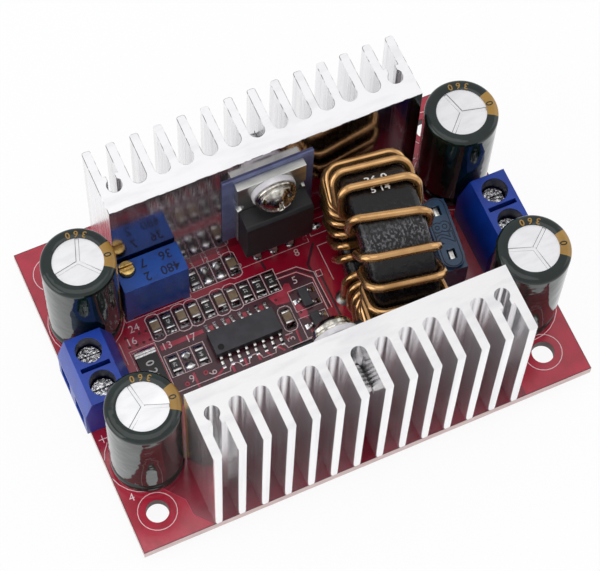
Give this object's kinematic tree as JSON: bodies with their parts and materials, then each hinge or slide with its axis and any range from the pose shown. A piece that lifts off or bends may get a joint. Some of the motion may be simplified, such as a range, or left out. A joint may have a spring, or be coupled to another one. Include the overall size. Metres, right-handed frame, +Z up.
{
  "type": "boost converter module",
  "caption": "Step-up power converter board with finned heatsinks along both long edges, a toroidal inductor, upright capacitors, screw terminals, a fuse and a trimmer.",
  "frame": {"origin": "middle of the footprint, at the level of the screw heads that the module stands on", "axes": "+X along the board from the input to the output terminal, +Y to the edge of the transistor's heatsink, +Z up from the board"},
  "size_m": [0.0684, 0.048, 0.0292],
  "materials": {
    "board": "glossy solder mask",
    "heatsink": "extruded, sawn ends",
    "screw_steel": "zinc plated",
    "core": "coated powder core",
    "winding": "enamelled copper wire",
    "fuse_plastic": "translucent moulded plastic",
    "tin": "tinned metal",
    "terminal_plastic": "moulded plastic",
    "trimmer_plastic": "moulded plastic",
    "trimmer_brass": "turned brass",
    "epoxy": "moulded epoxy",
    "insulating_pad": "silicone sheet",
    "bushing": "moulded nylon",
    "can": "drawn can",
    "sleeve": "shrunk film",
    "bung": "rubber seal",
    "resistor": "glazed ceramic",
    "ceramic": "fired ceramic",
    "solder": "bright solder"
  },
  "bodies": {
    "board": {"circuit_board": "board", "front_heatsink": "heatsink", "rear_heatsink": "heatsink", "heatsink_screws": "screw_steel", "inductor_core": "core", "inductor_winding": "winding", "fuse_housing": "fuse_plastic", "fuse_blades": "tin", "input_terminal_housing": "terminal_plastic", "input_contacts": "tin", "output_terminal_housing": "terminal_plastic", "output_contacts": "tin", "trimmer_body": "trimmer_plastic", "trimmer_pins": "tin", "mosfet_body": "epoxy", "mosfet_leadframe": "tin", "mosfet_pad": "insulating_pad", "mosfet_bushing": "bushing", "mosfet_screw": "screw_steel", "diode_body": "epoxy", "diode_leadframe": "tin", "diode_pad": "insulating_pad", "diode_bushing": "bushing", "diode_screw": "screw_steel", "tab_washers": "screw_steel", "capacitor_cans": "can", "capacitor_sleeves": "sleeve", "capacitor_bungs": "bung", "capacitor_leads": "tin", "controller_chip": "epoxy", "controller_pins": "tin", "chip_resistors": "resistor", "chip_capacitors": "ceramic", "chip_ends": "tin", "sense_resistor": "resistor", "small_transistors": "epoxy", "transistor_leads": "tin", "solder_joints": "solder"},
    "input_screw_front": {"input_screw_front": "screw_steel"},
    "input_clamp_front": {"input_clamp_front": "tin"},
    "input_screw_rear": {"input_screw_rear": "screw_steel"},
    "input_clamp_rear": {"input_clamp_rear": "tin"},
    "output_screw_front": {"output_screw_front": "screw_steel"},
    "output_clamp_front": {"output_clamp_front": "tin"},
    "output_screw_rear": {"output_screw_rear": "screw_steel"},
    "output_clamp_rear": {"output_clamp_rear": "tin"},
    "trimmer_screw": {"trimmer_screw": "trimmer_brass"}
  },
  "joints": [
    {"name": "input_screw_front_turn", "type": "hinge", "parent": "board", "child": "input_screw_front", "pos_m": [-0.03045, -0.00254, 0.0105], "axis": [0, 0, -1], "continuous": true},
    {"name": "input_clamp_front_rise", "type": "slide", "parent": "board", "child": "input_clamp_front", "axis": [0, 0, 1], "range_m": [0, 0.0014]},
    {"name": "input_screw_rear_turn", "type": "hinge", "parent": "board", "child": "input_screw_rear", "pos_m": [-0.03045, 0.00254, 0.0105], "axis": [0, 0, -1], "continuous": true},
    {"name": "input_clamp_rear_rise", "type": "slide", "parent": "board", "child": "input_clamp_rear", "axis": [0, 0, 1], "range_m": [0, 0.0014]},
    {"name": "output_screw_front_turn", "type": "hinge", "parent": "board", "child": "output_screw_front", "pos_m": [0.03045, -0.00274, 0.0105], "axis": [0, 0, -1], "continuous": true},
    {"name": "output_clamp_front_rise", "type": "slide", "parent": "board", "child": "output_clamp_front", "axis": [0, 0, 1], "range_m": [0, 0.0014]},
    {"name": "output_screw_rear_turn", "type": "hinge", "parent": "board", "child": "output_screw_rear", "pos_m": [0.03045, 0.00234, 0.0105], "axis": [0, 0, -1], "continuous": true},
    {"name": "output_clamp_rear_rise", "type": "slide", "parent": "board", "child": "output_clamp_rear", "axis": [0, 0, 1], "range_m": [0, 0.0014]},
    {"name": "trimmer_screw_turn", "type": "hinge", "parent": "board", "child": "trimmer_screw", "pos_m": [-0.02123, 0.0113, 0.0125], "axis": [0, 0, 1], "continuous": true}
  ],
  "couplings": [
    {"joint": "input_screw_front_turn", "follows": "input_clamp_front_rise", "rad_per_m": 13962},
    {"joint": "input_screw_rear_turn", "follows": "input_clamp_rear_rise", "rad_per_m": 13962},
    {"joint": "output_screw_front_turn", "follows": "output_clamp_front_rise", "rad_per_m": 13962},
    {"joint": "output_screw_rear_turn", "follows": "output_clamp_rear_rise", "rad_per_m": 13962}
  ]
}
